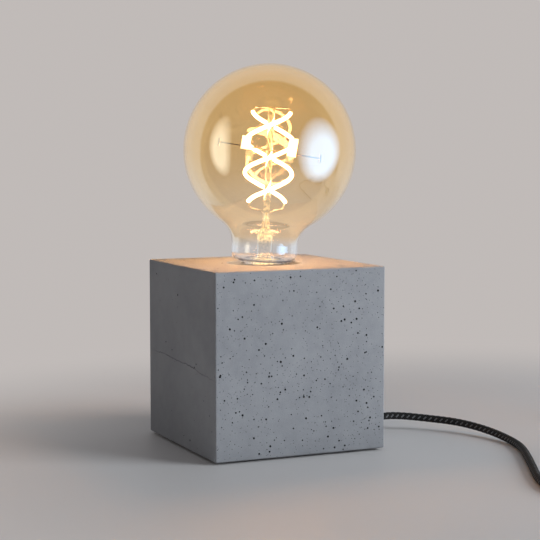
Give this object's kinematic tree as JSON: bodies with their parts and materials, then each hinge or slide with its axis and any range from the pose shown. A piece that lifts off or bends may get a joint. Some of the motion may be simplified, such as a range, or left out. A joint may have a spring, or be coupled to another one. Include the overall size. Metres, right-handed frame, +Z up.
{
  "type": "table lamp",
  "caption": "Concrete cube table lamp with a sunk screw lampholder, a large gold globe bulb with twisted filaments, and a black textile cord with switch and flat plug.",
  "frame": {"origin": "on the table, under the middle of the concrete cube", "axes": "+Z up along the lampholder; the cord leaves through the +Y face"},
  "size_m": [0.2695, 0.2895, 0.212],
  "materials": {
    "concrete": "cast, smooth, with small air pores",
    "gold_glass": "clear, gold tinted",
    "clear_glass": "clear",
    "black_glass": "opaque",
    "filament": "lit strand",
    "porcelain": "glazed",
    "wire": "drawn",
    "cap_metal": "nickel plated",
    "pin_metal": "nickel plated",
    "brass": "drawn",
    "steel": "zinc plated",
    "plate": "powder coated",
    "pad": "foam pad",
    "holder": "moulded",
    "textile": "braided",
    "tie": "hook and loop strap",
    "black_plastic": "moulded",
    "rocker": "moulded",
    "black_rubber": "moulded",
    "brown_insulation": "extruded",
    "blue_insulation": "extruded",
    "board": "laminate"
  },
  "bodies": {
    "lamp": {"concrete_block": "concrete", "base_inserts": "brass", "base_plate": "plate", "base_screws": "steel", "feet": "pad", "bar_inserts": "brass", "holder_bar": "steel", "bar_screws": "steel", "nipple": "steel", "lock_washer": "steel", "nipple_nut": "steel", "holder_dome": "holder", "holder_sleeve": "holder", "holder_core": "porcelain", "screw_shell": "brass", "side_contact": "brass", "centre_contact": "brass", "terminal_screws": "steel", "cord_grip": "black_plastic", "grip_screw": "steel", "cord_bush": "black_rubber", "cord_inner": "textile", "lead_brown": "brown_insulation", "lead_blue": "blue_insulation", "cord_to_switch": "textile", "switch_base": "black_plastic", "switch_cover": "black_plastic", "switch_contacts": "brass", "cord_in_switch": "textile", "switch_sleeves": "black_rubber", "switch_screws": "steel", "cord_to_coil": "textile", "cord_coil": "textile", "coil_tie": "tie", "cord_to_plug": "textile", "plug_sleeve": "black_rubber", "plug_body": "black_plastic", "cord_in_plug": "textile", "plug_pins": "pin_metal", "pin_sleeves": "black_plastic"},
    "bulb_lift": {"bulb_contact": "cap_metal"},
    "bulb": {"bulb_cap": "cap_metal", "cap_insulator": "black_glass", "driver_board": "board", "driver_parts": "black_plastic", "bulb_glass": "gold_glass", "bulb_stem": "clear_glass", "filament_a": "filament", "filament_b": "filament", "filament_clips": "porcelain", "support_wire": "wire", "filament_leads": "wire"},
    "rocker": {"switch_rocker": "rocker", "rocker_blade": "brass"}
  },
  "joints": [
    {"name": "bulb_rise", "type": "slide", "parent": "lamp", "child": "bulb_lift", "axis": [0, 0, 1], "range_m": [0, 0.0091]},
    {"name": "bulb_turn", "type": "hinge", "parent": "bulb_lift", "child": "bulb", "pos_m": [0, 0, 0.09], "axis": [0, 0, 1], "range_deg": [0, 900]},
    {"name": "rocker_tilt", "type": "hinge", "parent": "lamp", "child": "rocker", "pos_m": [0.2085, 0.159, 0.0139], "axis": [-1, 0, 0], "range_deg": [0, 18]}
  ],
  "couplings": [
    {"joint": "bulb_rise", "follows": "bulb_turn", "m_per_rad": 0.00057757}
  ]
}
